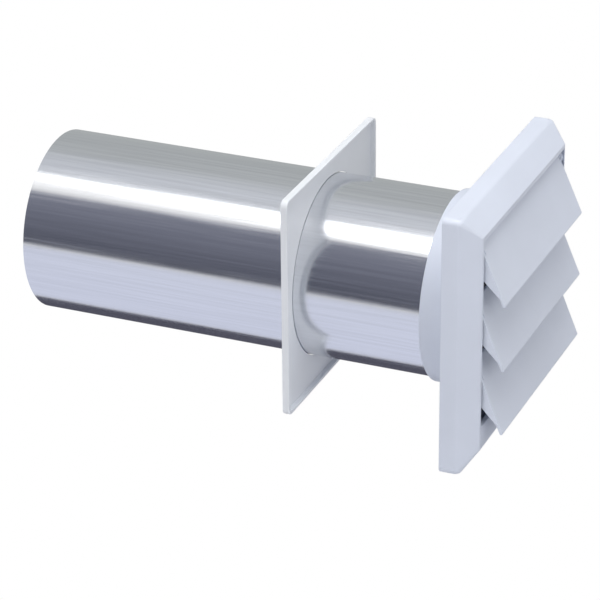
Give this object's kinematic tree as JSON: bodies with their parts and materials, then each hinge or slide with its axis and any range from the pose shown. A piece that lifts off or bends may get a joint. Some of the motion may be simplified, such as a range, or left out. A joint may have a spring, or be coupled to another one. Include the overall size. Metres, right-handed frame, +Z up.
{
  "type": "louvred wall vent",
  "caption": "Square wall vent hood with three swinging louvres, a round collar, a bright metal tail pipe and a sliding square wall plate.",
  "frame": {"origin": "centre of the hood's back face, which lies on the wall, on the duct's axis", "axes": "+Y into the wall along the tail pipe, the louvres face -Y, +Z up, +X to the right of a person who faces the louvres"},
  "size_m": [0.148, 0.2866, 0.148],
  "materials": {
    "hood_plastic": "satin white moulding",
    "louvre_plastic": "satin white moulding",
    "plate_plastic": "satin white moulding",
    "pipe_metal": "bright rolled sheet"
  },
  "bodies": {
    "hood": {"hood_body": "hood_plastic", "tail_pipe": "pipe_metal"},
    "wall_plate": {"wall_plate": "plate_plastic"},
    "louvre_top": {"louvre_top": "louvre_plastic"},
    "louvre_middle": {"louvre_middle": "louvre_plastic"},
    "louvre_bottom": {"louvre_bottom": "louvre_plastic"}
  },
  "joints": [
    {"name": "top_louvre_swing", "type": "hinge", "parent": "hood", "child": "louvre_top", "pos_m": [0, -0.01522, 0.05482], "axis": [-1, 0, 0], "range_deg": [0, 42]},
    {"name": "middle_louvre_swing", "type": "hinge", "parent": "hood", "child": "louvre_middle", "pos_m": [0, -0.01522, 0.01881], "axis": [-1, 0, 0], "range_deg": [0, 42]},
    {"name": "bottom_louvre_swing", "type": "hinge", "parent": "hood", "child": "louvre_bottom", "pos_m": [0, -0.01522, -0.01719], "axis": [-1, 0, 0], "range_deg": [0, 42]},
    {"name": "wall_plate_slide", "type": "slide", "parent": "hood", "child": "wall_plate", "axis": [0, 1, 0], "range_m": [-0.071, 0.155]}
  ]
}
